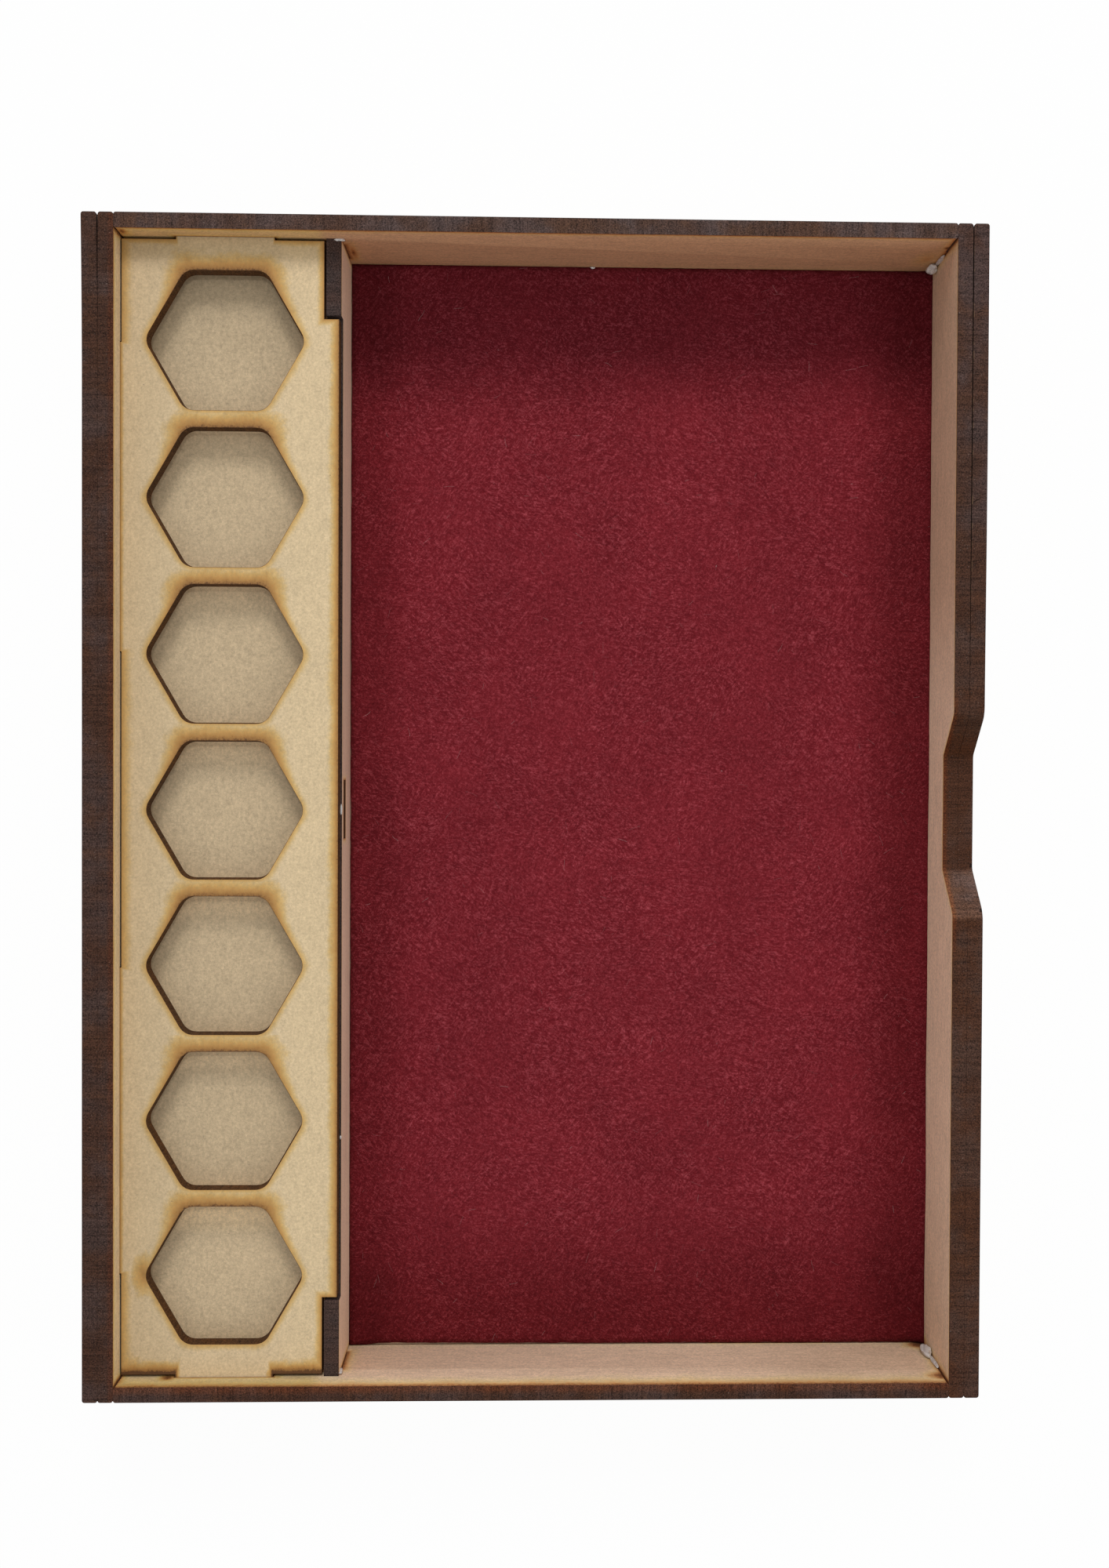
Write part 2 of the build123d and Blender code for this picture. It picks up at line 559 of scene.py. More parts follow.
@dataclass(frozen=True)
class CutFinish:
    """The charred edge of a sheet, with the fine lines that the laser leaves through its thickness."""

    colour: Colour = (0.053, 0.024, 0.015)
    cool: Colour = (0.058, 0.034, 0.028)
    warm: Colour = (0.066, 0.028, 0.014)
    dust: Colour = (0.3, 0.24, 0.21)
    # A lighter line on a torn edge: part its own colour, part painted highlight.
    lip_highlight: Colour = (0.2, 0.12, 0.07)
    crack: Colour = (0.006, 0.003, 0.002)
    lines_per_mm: float = 2.2
    dust_share: float = 0.16
    washes: Washes = ()
    cracks: tuple[Crack, ...] = ()
    lip_highlight_at: Optional[float] = None

    def made(self, name: str, across: Across) -> Material:
        """Builds the material.

        Args:
            name: The board's name.
            across: The way its thickness runs.

        Returns:
            The material.
        """
        s, axis = Surface(f"{name}_cut"), across.value[0]
        lines = s.noise(s.stretched(axis, 0.12, self.lines_per_mm), 1, 3, 0.7)
        broad = s.noise(s.stretched(axis, 0.25, 0.3), 1, 3)
        grain = s.noise(s.place, 3.4, 3, 0.9)
        patch = s.noise(s.place, 0.07, 3, 0.6)
        colour = s.blend(patch.step(0.4, 0.62), self.colour, self.cool)
        colour = s.blend(broad.step(0.48, 0.72) * 0.45, colour, self.warm)
        gain = 1 + (lines - 0.5) * 1.7 + (grain - 0.5) * 5.4 + (broad - 0.5) * 0.3
        colour = s.brightened(colour, gain.most(0.25))
        colour = washed(s, colour, self.washes)
        dust = s.specks(s.place, 1.1, 0.14, self.dust_share).most(s.specks(s.place, 0.5, 0.11, 0.35) * 0.6)
        colour = s.blend(dust * 0.6, colour, self.dust)
        # A lighter line along the outer board's inner edge beside the seam, where it is torn: part torn lip, part
        # painted highlight of that edge.
        if self.lip_highlight_at is not None:
            torn = s.noise(s.place, 0.6, 3, 0.6).step(0.5, 0.62) * s.y.step(30, 70)
            lip_highlight = abs(s.x - self.lip_highlight_at).step(0.16, 0.04) * torn
            colour = s.blend(lip_highlight * 0.6, colour, self.lip_highlight)
        for crack in self.cracks:
            colour = s.blend(crack.depth(s) * 0.85, colour, self.crack)
        return s.finish(colour, 0.85 + (grain - 0.5) * 0.2, 0.12, lines + grain * 0.8, 0.05)


@dataclass(frozen=True)
class FeltFinish:
    """Matted burgundy wool felt."""

    colour: Colour = (0.2, 0.0172, 0.025)
    deep: Colour = (0.138, 0.0088, 0.0142)
    pale: Colour = (0.35, 0.06, 0.077)
    lint: Colour = (0.46, 0.28, 0.3)
    pit: Colour = (0.03, 0.001, 0.003)
    turns: tuple[float, ...] = (0.1, 0.75, 2.2)
    # Painted shade: the felt darker along the front, back and right walls of the tray and along the divider.
    washes: Washes = (
        Wash(1, (-116, -107), 26, (0.67, 0.58, 0.56)), Wash(1, (100, 116), 22, (0.7, 0.7, 0.74)),
        Wash(0, (78, 84), 14, (0.68, 0.62, 0.6)), Wash(0, (-40, -35), 11, (0.73, 0.66, 0.65)),
    )

    def made(self) -> Material:
        """Builds the sheet's material.

        Returns:
            The material.
        """
        s = Surface("felt_sheet")
        cloudy = s.noise(s.place, 0.05, 4, 0.65)
        fine = s.noise(s.place, 2.1, 4, 0.9)
        bent = s.bent(s.place, 0.22, 2.6)
        hairs = []
        for number, turn in enumerate(self.turns):
            turned = s.node("VectorRotate", {"Vector": bent, "Angle": turn}, rotation_type="Z_AXIS")
            hair = s.noise(s.scaled(turned.outputs[0], (0.6, 2.8, 1)), 1, 3, 0.85)
            here = s.noise(s.shifted(s.place, (40.0 * number, 17, 0)), 0.06, 2).step(0.4, 0.6)
            hairs.append((hair - 0.5) * (0.35 + 0.65 * here))
        hairs = sum(hairs[1:], hairs[0])
        matted = s.noise(s.scaled(bent, (0.7, 1.3, 1)), 0.35, 3, 0.7)
        colour = s.blend((hairs + fine - 0.5).step(-0.22, 0.12), self.deep, self.colour)
        colour = s.blend((hairs + fine - 0.5).step(0, 0.3) * 0.85, colour, self.pale)
        gain = 1 + (cloudy - 0.5) * 0.55 + (matted - 0.5) * 0.2 + (fine - 0.5) * 1.2
        colour = s.brightened(colour, gain)
        pits = s.specks(bent, 5.5, 0.24, 0.3).most(s.specks(bent, 2.3, 0.12, 0.25) * 0.6)
        colour = s.blend(pits * 0.55, colour, self.pit)
        flecks = s.specks(s.scaled(bent, (0.7, 1.4, 1)), 6.5, 0.2, 0.22)
        colour = s.blend(flecks * 0.5, colour, self.lint)
        # Painted shade along the walls of the tray.
        colour = washed(s, colour, self.washes)
        return s.finish(colour, 0.95, 0.1, hairs + fine, 0.12)

    def fibre(self) -> Material:
        """Builds the loose fibres' material, from each fibre's own shade.

        Returns:
            The material.
        """
        s = Surface("felt_fibre")
        shade = Value(s, s.node("Attribute", attribute_name="shade").outputs["Fac"])
        colour = s.ramp(shade, ((0, self.colour), (0.55, (0.18, 0.019, 0.029)), (0.95, (0.24, 0.045, 0.058)),
                                (0.985, (0.34, 0.18, 0.19)), (1, (0.5, 0.42, 0.42))))
        return s.finish(colour, 0.9, 0.1)


@dataclass(frozen=True)
class GlueFinish:
    """Set glue, whitish and half clear."""

    colour: Colour = (0.86, 0.84, 0.82)
    milk: Colour = (0.72, 0.66, 0.62)

    def made(self) -> Material:
        """Builds the material.

        Returns:
            The material.
        """
        s = Surface("set_glue")
        milky = s.noise(s.place, 0.8)
        colour = s.blend(milky.step(0.35, 0.65), self.colour, self.milk)
        return s.finish(colour, 0.2 + milky * 0.2, 0.5, milky, 0.1, Transmission_Weight=0.3, IOR=1.46)


def new_object(name: str, data: bpy.types.ID) -> Object:
    """Puts a mesh, a lamp or a camera in the scene, as an object of that name."""
    bpy.context.scene.collection.objects.link(made := bpy.data.objects.new(name, data))
    return made


def drawn(name: str, shape: bmesh.types.BMesh) -> Object:
    """Turns a drawing into an object and frees it.

    Args:
        name: Name of the object and its mesh.
        shape: The drawing.

    Returns:
        The object.
    """
    shape.to_mesh(mesh := bpy.data.meshes.new(name))
    shape.free()
    return new_object(name, mesh)


def settled(draft: Object) -> Object:
    """Swaps a draft for an object of its name with the modifiers in the mesh.

    Args:
        draft: The draft.

    Returns:
        The new object.
    """
    name, depsgraph = draft.name, bpy.context.evaluated_depsgraph_get()
    mesh = bpy.data.meshes.new_from_object(draft.evaluated_get(depsgraph), depsgraph=depsgraph)
    bpy.data.objects.remove(draft)
    return new_object(name, mesh)


def paint(piece: Object, *materials: Material) -> None:
    """Gives a piece its materials in the place of any others, and smooth shading.

    Args:
        piece: The piece.
        materials: Its materials.
    """
    piece.data.materials.clear()
    for material in materials:
        piece.data.materials.append(material)
    for polygon in piece.data.polygons:
        polygon.use_smooth = True


def keep(piece: Object) -> None:
    """Lets a finished piece ride on the box and reports it.

    Args:
        piece: The piece.
    """
    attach(piece, BODY)
    LOG.info("%s: %d faces", piece.name, len(piece.data.polygons))


@dataclass(frozen=True)
class Boards:
    """The boards of the box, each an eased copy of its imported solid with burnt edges."""

    cut: CutFinish = CutFinish()
    slot: str = "fibreboard"
    ease: float = 0.06 * MM
    merge: float = 0.001 * MM
    flat_within: float = math.radians(1)
    sharp_beyond: float = math.radians(40)
    smooth_within: float = math.radians(30)
    face_from: float = 0.95

    def make(self, node: str, across: Across, cuts: Cuts, face: FaceFinish, edge: CutFinish,
             bend: Optional[Callable[[Vector], Vector]] = None, stations: int = 1) -> None:
        """Copies a packed board with its sharp edges eased, and dresses it.

        Args:
            node: The board's node.
            across: The way its thickness runs.
            cuts: What browned its faces.
            face: Finish of its two faces.
            edge: Finish of its edges.
            bend: Shift of a point, for a bent board.
            stations: Stretches along Y that it bends in.
        """
        shape = bmesh.new()
        shape.from_mesh(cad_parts[node].data)
        bmesh.ops.remove_doubles(shape, verts=shape.verts, dist=self.merge)
        bmesh.ops.dissolve_limit(shape, angle_limit=self.flat_within, verts=shape.verts, edges=shape.edges)
        sharp = [e for e in shape.edges if len(e.link_faces) == 2 and e.calc_face_angle() > self.sharp_beyond]
        bmesh.ops.bevel(shape, geom=sharp, offset=self.ease, segments=1, affect="EDGES", clamp_overlap=True)
        low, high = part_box(node)
        for number in range(1, stations):
            along = low.y + (high.y - low.y) * number / stations
            bmesh.ops.bisect_plane(shape, geom=[*shape.verts, *shape.edges, *shape.faces],
                                   plane_co=(0, along, 0), plane_no=(0, 1, 0))
        for vertex in shape.verts if bend else ():
            vertex.co += bend(vertex.co)
        piece = drawn(f"eased_{node}", shape)
        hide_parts(node)
        paint(piece, face.made(node, across, cuts), edge.made(node, across))
        for polygon in piece.data.polygons:
            polygon.material_index = int(abs(polygon.normal[across.value[0]]) <= self.face_from)
        piece.data.set_sharp_from_angle(angle=self.smooth_within)
        keep(piece)


@dataclass
class BoxShell:
    """Base, front and back walls and the double side walls."""

    boards: Boards = Boards()
    outer_y: float = 116
    inner_x: float = 82.3
    height: float = 27
    base_cuts: Cuts = (Edge(LEFT, -inner_x), Edge(RIGHT, inner_x))
    end_cuts: Cuts = (
        Edge(LEFT, -inner_x, Sear(2.8)), Edge(RIGHT, inner_x, Sear(2.8)), Edge(LOW, 0, Sear(6.5, 0.6)),
        Slot((-61.7, 20), (9.8, 1.6)), Slot((-61.7, 14), (9.8, 1.6)),
        Slot((-40.4, 12.5), (1.6, 4.6), sear=Sear(3)), Slot((50, 0), (12.6, 3.1), True),
    )
    front_cuts: Cuts = (
        Edge(HIGH, height, Sear(5.8, 0.99)), *end_cuts,
        Burn((-72.8, 21.6), (2.8, 3.4), 1.1), Burn((-51, 21.6), (1.6, 1.6), 0.8),
        Burn((81.4, 4.8), (4.6, 4.6), 1.2), Burn((82.4, 23), (6, 4.2), 1.15), Burn((-82, 24), (2.6, 5), 0.9),
    )
    back_cuts: Cuts = (
        Edge(HIGH, height, Sear(2.6)), *end_cuts, Burn((-37.6, 12), (1.4, 8)), Burn((-81.2, 24.5), (2.2, 5)),
        Burn((82, 20.4), (1.8, 2), 1.3), Burn((79.4, 12.5), (4, 7), 0.75),
    )
    side_ends: Cuts = (Edge(LEFT, -113, Sear(2.4)), Edge(RIGHT, 113, Sear(2.4)))
    left_cuts: Cuts = (Edge(HIGH, height, Sear(2.6)), *side_ends)
    right_cuts: Cuts = (Edge(HIGH, height, Sear(0.9)), *side_ends, Burn((-112.8, 5), (2.6, 4)), Notch())
    gap_closed: float = 0.19 * MM
    gap_wave: float = 0.01 * MM
    gap_opening: float = 0.26 * MM
    gap_opens_at: float = 80 * MM
    stands_off_at: float = 80 * MM
    glued_at: float = 85.4
    lip_highlight_at: float = 85.55
    stations: int = 24
    base_colour: Colour = (0.66, 0.49, 0.33)
    wall_colour: Colour = (0.68, 0.515, 0.33)
    # Painted light and shade on each wall's inner face, made lighter or darker than its outer face for how the lamps
    # fall on it. The front wall's inner face is lighter; over the strip it is darker and yellower, and the front wall
    # is darker towards its right end and its top.
    front_inside_light: Wash = Wash(1, (-113.2, -112.8), 0.6, (1.16, 1.13, 1.25))
    front_washes: Washes = (
        front_inside_light, Wash(0, (-90, -45), 4, (0.74, 0.74, 0.58), front_inside_light),
        Wash(0, (62, 90), 30, (0.83, 0.81, 0.79)), Wash(2, (25.5, 28), 4.5, (0.92, 0.91, 0.88)),
    )
    # Painted shade and painted red light thrown off the felt: the back wall's inner face darker and redder. Over the
    # strip it is lighter and yellower.
    back_inside_shade: Wash = Wash(1, (112.8, 113.2), 0.6, (0.88, 0.64, 0.545))
    back_washes: Washes = (back_inside_shade, Wash(0, (-90, -44), 3, (1.06, 1.2, 0.98), back_inside_shade))
    # Painted light: the left wall's inner face lighter, and more so towards the front.
    left_inside_light: Wash = Wash(0, (-82.5, -82.1), 0.6, (1.15, 1.16, 1.14))
    left_painted_light: Washes = (left_inside_light, Wash(1, (-116, -20), 60, (1.1, 1.12, 1.13), left_inside_light))
    # Painted light and shade: the right wall's inner face lighter, darker towards the back and lighter in the middle
    # and front.
    right_inside_light: Wash = Wash(0, (82.1, 82.5), 0.6, (1.16, 1.11, 1.23))
    right_painted_light: Washes = (
        right_inside_light, Wash(1, (50, 116), 32, (0.86, 0.8, 0.76), right_inside_light),
        Wash(1, (-70, 18), 34, (1.16, 1.18, 1.19), right_inside_light),
    )
    left_edge_wash: Wash = Wash(0, (-82.9, -82), 0.8, (1.25, 0.97, 0.8))
    front_edge_wash: Wash = Wash(1, (-113.5, -112.9), 1.5, (1.8, 1.25, 0.9))
    back_edge_wash: Wash = Wash(1, (112, 117), 1, (1.33, 1.52, 1.68))
    right_edge_washes: Washes = (
        Wash(1, (-116, 20), 40, (1.13, 0.98, 0.83)), Wash(1, (70, 116), 30, (1.15, 1.2, 1.28)),
        Wash(1, (13, 17.5), 3, (1, 0.88, 0.7)), Wash(1, (-20, -12.6), 1.4, (1.85, 2.35, 2.9)),
        Wash(0, (82, 82.6), 0.8, (1.55, 1.15, 0.8), Wash(1, (-24, 20), 6, (1, 1, 1))),
    )
    cracks: tuple[Crack, ...] = (
        Crack((86.2, 98.65), 1.3, 0.2), Crack((85.9, 86.4), 1, 0.12), Crack((85.7, 69.9), 0.7, -0.1),
        Crack((85.7, 61.5), 1.7, 0.42), Crack((85.7, 49.7), 1.7, 0.28), Crack((87.8, -10.8), 0.9, 0, 0.35),
        Crack((87.9, -19.2), 0.8, 0.3, 0.3),
    )

    def wave(self, along: float, seed: float) -> float:
        """Small waver of a seam at a place along it, in metres."""
        return self.gap_wave * noise.noise(Vector((along * 38, seed, 0)))

    def bow_left(self, point: Vector) -> Vector:
        """The left outer board lies close to the inner one, and springs away at the back end."""
        share = min(max((point.y - self.gap_opens_at) / (self.outer_y * MM - self.gap_opens_at), 0), 1)
        return Vector((self.gap_closed + self.wave(point.y, 0) - self.gap_opening * share * share, 0, 0))

    def bow_right(self, point: Vector) -> Vector:
        """The right outer board touches the inner one along its front half, and stands off behind."""
        share = min(max(point.y / self.stands_off_at, 0), 1)
        return Vector((-self.gap_closed * 0.5 * (1 + math.cos(math.pi * share)) + self.wave(point.y, 5), 0, 0))

    def build(self) -> None:
        """Makes the shell's boards."""
        cut = self.boards.cut
        left_cut, front_cut = (replace(cut, washes=(w,)) for w in (self.left_edge_wash, self.front_edge_wash))
        dusty = replace(cut, dust_share=0.45, washes=(self.back_edge_wash,))
        right_cut = replace(cut, washes=self.right_edge_washes)
        cracked = replace(right_cut, cracks=self.cracks, lip_highlight_at=self.lip_highlight_at)
        wall = FaceFinish(self.wall_colour, sear_stops=WALL_SEAR, grain=1.3, streaks=0.5)
        front, back = (replace(wall, washes=w) for w in (self.front_washes, self.back_washes))
        left, right = (replace(wall, washes=w, glued_at=self.glued_at) for w in (self.left_painted_light, self.right_painted_light))
        for row in (
            ("base_panel", Across.Z, self.base_cuts, FaceFinish(self.base_colour), cut),
            ("front_wall", Across.Y, self.front_cuts, front, front_cut),
            ("back_wall", Across.Y, self.back_cuts, back, dusty),
            ("left_inner_wall", Across.X, self.left_cuts, left, left_cut),
            ("left_outer_wall", Across.X, self.left_cuts, left, cut, self.bow_left, self.stations),
            ("right_inner_wall", Across.X, self.right_cuts, right, right_cut),
            ("right_outer_wall", Across.X, self.right_cuts, right, cracked, self.bow_right, self.stations),
        ):
            self.boards.make(*row)


@dataclass
class StorageStrip:
    """Plate with the wells, the floor under it and the divider."""

    boards: Boards = Boards()
    left_edge: float = -81.8
    right_edge: float = -39.3
    wall_x: float = -82.3
    half_length: float = 112.5
    shoulder_y: float = 97.15
    wells: Wells = Wells()
    well_half: Span = (17, 15.4)
    plate_bottom: float = 18.5
    kerf: float = 0.22
    nudge: float = 0.25
    plate_colour: Colour = (0.64, 0.495, 0.305)
    # Painted shade and light on the plate: darker beside the left wall, lighter beside the divider, and darker at the
    # back, under the back wall.
    plate_painted_light: Washes = (
        Wash(0, (-90, -76), 10, (0.88, 0.87, 0.85)), Wash(0, (-47, -38), 6, (1.04, 1.04, 1.02)),
        Wash(1, (110.5, 116), 3.2, (0.83, 0.82, 0.77)),
    )
    plate_cuts: Cuts = (
        Edge(RIGHT, right_edge, Sear(2.3, 0.95), (-shoulder_y, shoulder_y)),
        Edge(LEFT, wall_x, Sear(0.9, 0.8)),
        Edge(LEFT, left_edge, Sear(2.2, 0.6), (-31.25, 31.25)),
        Edge(LEFT, left_edge, Sear(2.2, 0.6), (92.25, half_length)),
        Edge(LEFT, left_edge, Sear(2.2, 0.6), (-half_length, -92.25)),
        Edge(HIGH, half_length, Sear(1.4, 0.75), (wall_x, -71.4)),
        Edge(HIGH, half_length, Sear(1.4, 0.75), (-52, right_edge)),
        Edge(LOW, -half_length, Sear(3.3, 1.25), (wall_x, -71.4)),
        Edge(LOW, -half_length, Sear(3.3, 1.25), (-52, right_edge)),
        Slot((-38.25, -106.825), (4, 9.675), sear=Sear(1.7, 0.85)),
        Slot((-38.25, 106.825), (4, 9.675), sear=Sear(1.7, 0.85)),
        Burn((-82, -112.6), (4.5, 5), 0.8), Burn((-72, -112.9), (1.6, 2.6)),
        Burn((-77.4, -92.5), (3.2, 5), 0.8), Burn((-51.6, -112.9), (1.8, 2.6)), wells,
    )
    divider_cuts: Cuts = (
        Edge(HIGH, 18.5, Sear(1, 0.9), (-shoulder_y, shoulder_y)), Edge(HIGH, 21.5, Sear(1.2)),
        Edge(LEFT, -113, Sear(2)), Edge(RIGHT, 113, Sear(2)), Slot((0, 14), (5.85, 1.6), sear=Sear(1.5)),
    )
    floor_cuts: Cuts = (Edge(LEFT, left_edge), Edge(RIGHT, right_edge))
    floor_colour: Colour = (0.56, 0.43, 0.268)
    # Painted shade and light on the floor of the wells: darker at the back, under the back wall, lighter in the
    # front, and lighter at the back of the front well.
    floor_painted_light: Washes = (
        Wash(1, (99, 116), 16, (0.88, 0.88, 0.88)), Wash(1, (-116, -85), 20, (1.06, 1.06, 1.06)),
        Wash(1, (-84.5, -77), 2, (1.14, 1.13, 1.1)),
    )
    # Painted light: the divider's face a lighter tone than the walls', for light on its side-facing face, and lighter
    # still towards the front.
    divider_lit_colour: Colour = (0.85, 0.61, 0.445)
    divider_painted_light: Wash = Wash(1, (-116, -30), 60, (1.14, 1.17, 1.17))

    def slanted(self, point: Vector) -> Vector:
        """The laser's cut slants, so a well is narrower under the plate. The plate lies close to the left wall.

        Args:
            point: A point of the plate, in metres.

        Returns:
            Its shift in metres.
        """
        x, y, z = (c / MM for c in point)
        if abs(x - self.left_edge) < self.nudge:
            return Vector((-self.nudge * MM, 0, 0))
        number = min(max(round(y / self.wells.pitch), -self.wells.last), self.wells.last)
        away = Vector((x - self.wells.x, y - number * self.wells.pitch, 0))
        inside = abs(away.x) < self.well_half[0] and abs(away.y) < self.well_half[1]
        return -away.normalized() * self.kerf * MM if inside and z <= self.plate_bottom + self.kerf else Vector()

    def build(self) -> None:
        """Makes the strip's boards."""
        cut = self.boards.cut
        shoulder = replace(cut, colour=(0.043, 0.031, 0.029), warm=(0.048, 0.027, 0.02))
        brown = replace(cut, colour=(0.086, 0.036, 0.012), cool=(0.074, 0.035, 0.015), warm=(0.105, 0.042, 0.013))
        plate = FaceFinish(self.plate_colour, washes=self.plate_painted_light)
        floor = FaceFinish(self.floor_colour, grain=1.35, washes=(PaintedWellLight(self.wells), *self.floor_painted_light))
        divider = FaceFinish(self.divider_lit_colour, sear_stops=WALL_SEAR, washes=(self.divider_painted_light,))
        self.boards.make("hex_plate", Across.Z, self.plate_cuts, plate, brown, self.slanted)
        self.boards.make("well_floor", Across.Z, self.floor_cuts, floor, brown)
        self.boards.make("divider", Across.X, self.divider_cuts, divider, shoulder)


@dataclass
class FeltLining:
    """The felt in the tray, with its uneven front edge and loose fibres."""

    slot: str = "felt"
    finish: FeltFinish = FeltFinish()
    left: float = -38.8 * MM
    right: float = 82.2 * MM
    back: float = 112.9 * MM
    front: float = -112.9 * MM
    rest: float = 3 * MM
    thickness: float = 0.95 * MM
    lift: float = 0.14 * MM
    raggedness: float = 0.12 * MM
    sag: float = 0.1 * MM
    columns: int = 100
    rows: int = 190
    front_gaps: tuple[Span, ...] = (
        (-39, 0.05), (-37, 0.05), (-31, 0.5), (-24, 0.45), (-8, 0.35), (20, 0.25), (83, 0.15),
    )
    curl: float = 1.3 * MM
    curl_width: float = 3 * MM
    fibres: tuple[tuple[str, str, float], ...] = (
        ("Density", "Float", 320000), ("Length", "Float", 1.9 * MM), ("Radius", "Float", 0.016 * MM),
        ("Wander", "Float", 1 * MM), ("Seed", "Int", 7),
    )

    def spot(self, s: float, t: float) -> Point:
        """Place of a point on the top of the sheet.

        Args:
            s: Share of the way to the right.
            t: Share of the way to the back.

        Returns:
            The place in metres.
        """
        x = self.left + (self.right - self.left) * s
        (x0, gap0), (x1, gap1) = next(p for p in zip(self.front_gaps, self.front_gaps[1:]) if x / MM <= p[1][0])
        share = (x / MM - x0) / (x1 - x0)
        low = self.front + (gap0 + (gap1 - gap0) * (share * share * (3 - 2 * share))) * MM
        y = low + (self.back - low) * t
        ragged = self.raggedness * noise.noise(Vector((x, y, 0)) * 400)
        edge = min(s * self.columns, (1 - s) * self.columns, t * self.rows, (1 - t) * self.rows)
        pull = max(0, 1 - edge / 2)
        inward = Vector(((self.left + self.right) / 2 - x, (self.back + low) / 2 - y, 0)).normalized()
        wave = noise.noise(Vector((x, y, 0.3)) * 28) * 0.5 + 0.5
        tuft = noise.noise(Vector((x, y, 0.9)) * 330) * 0.5 + 0.5
        z = self.rest + self.thickness + self.lift * (wave * 0.6 + tuft * 0.4) - self.sag * pull * pull
        rising = max(0, 1 - (self.right - x) / self.curl_width)
        z += self.curl * rising * rising * (0.9 + 0.5 * noise.noise(Vector((0, y, 2)) * 45))
        return x + inward.x * ragged * pull, y + inward.y * ragged * pull, z

    def build(self) -> Object:
        """Returns:
            The sheet.
        """
        shape = bmesh.new()
        grid = [[shape.verts.new(self.spot(column / self.columns, row / self.rows))
                 for column in range(self.columns + 1)] for row in range(self.rows + 1)]
        for near, far in zip(grid, grid[1:]):
            for corners in zip(near, near[1:], far[1:], far):
                shape.faces.new(corners)
        draft = drawn("felt_sheet", shape)
        solid = draft.modifiers.new("thickness", "SOLIDIFY")
        solid.thickness, solid.offset = self.thickness, -1
        piece = settled(draft)
        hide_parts("felt_lining")
        paint(piece, self.finish.made())
        keep(piece)
        return piece

    def fibre_tree(self, material: Material) -> NodeTree:
        """Builds the tree that strews fibres over the sheet.

        Args:
            material: The fibres' material.

        Returns:
            The tree, with named inputs for its sizes.
        """
        group = bpy.data.node_groups.new("loose_fibres", "GeometryNodeTree")
        for name, kind, _ in (("Geometry", "Geometry", 0), *self.fibres):
            group.interface.new_socket(name, in_out="INPUT", socket_type=f"NodeSocket{kind}")
        group.interface.new_socket("Geometry", in_out="OUTPUT", socket_type="NodeSocketGeometry")
        t = Tree(group)
        given = t.node("NodeGroupInput").outputs
        seed, length = Value(t, given["Seed"]), Value(t, given["Length"])
        normal = t.node("SeparateXYZ", {0: t.out("GeometryNodeInputNormal")})
        upward = t.out("FunctionNodeCompare", {0: normal.outputs[2], 1: 0.5}, operation="GREATER_THAN")
        points = t.out("GeometryNodeDistributePointsOnFaces", {
            "Mesh": given["Geometry"], "Selection": upward, "Density": given["Density"], "Seed": seed})
        end, start = (t.out("CombineXYZ", {0: length * half}) for half in (0.5, -0.5))
        line = t.out("GeometryNodeCurvePrimitiveLine", {"Start": start, "End": end})
        fine = t.out("GeometryNodeResampleCurve", {"Curve": line, "Count": 4})
        turn = t.out("FunctionNodeRandomValue", {0: (0, 0, 0), 1: (0, 0, math.tau), "Seed": seed + 1},
                     data_type="FLOAT_VECTOR")
        size, shade = (t.node("FunctionNodeRandomValue", {2: low, 3: high, "Seed": seed + number},
                              data_type="FLOAT").outputs[1] for low, high, number in ((0.35, 1.3, 2), (0, 1, 3)))
        strewn = t.out("GeometryNodeInstanceOnPoints", {
            "Points": points, "Instance": fine, "Rotation": turn, "Scale": size})
        marked = t.out("GeometryNodeStoreNamedAttribute", {"Geometry": strewn, "Name": "shade", "Value": shade},
                       data_type="FLOAT", domain="INSTANCE")
        loose = t.out("GeometryNodeRealizeInstances", {0: marked})
        place = t.out("GeometryNodeInputPosition")
        waver = t.node("TexNoise", {"Vector": place, "Scale": 420, "Detail": 1.0})
        reach = t.brightened(t.shifted(waver.outputs[1], (-0.5, -0.5, -0.42)), given["Wander"])
        bent = t.out("GeometryNodeSetPosition", {"Geometry": loose, "Offset": t.scaled(reach, (1, 1, 0.09))})
        ring = t.out("GeometryNodeCurvePrimitiveCircle", {"Resolution": 3, "Radius": given["Radius"]})
        tubes = t.out("GeometryNodeCurveToMesh", {"Curve": bent, "Profile Curve": ring, "Fill Caps": True})
        real = t.out("GeometryNodeRealizeInstances", {0: tubes})
        t.node("NodeGroupOutput", {0: t.out("GeometryNodeSetMaterial", {"Geometry": real, "Material": material})})
        return group

    def strew(self, sheet: Object) -> None:
        """Makes the loose fibres, as one mesh.

        Args:
            sheet: The felt.
        """
        draft = new_object("felt_fibres", sheet.data.copy())
        nodes = draft.modifiers.new("fibres", "NODES")
        nodes.node_group = self.fibre_tree(self.finish.fibre())
        given = {name: value for name, _, value in self.fibres}
        for item in nodes.node_group.interface.items_tree:
            if item.in_out == "INPUT" and item.name in given:
                nodes[item.identifier] = given[item.name]
        keep(settled(draft))


@dataclass(frozen=True)
class Bead:
    """A drop of set glue: its middle and its half sizes in millimetres, and a seed for its shape."""

    name: str
    middle: Point
    half: Point
    turn: float = 0
    seed: int = 0


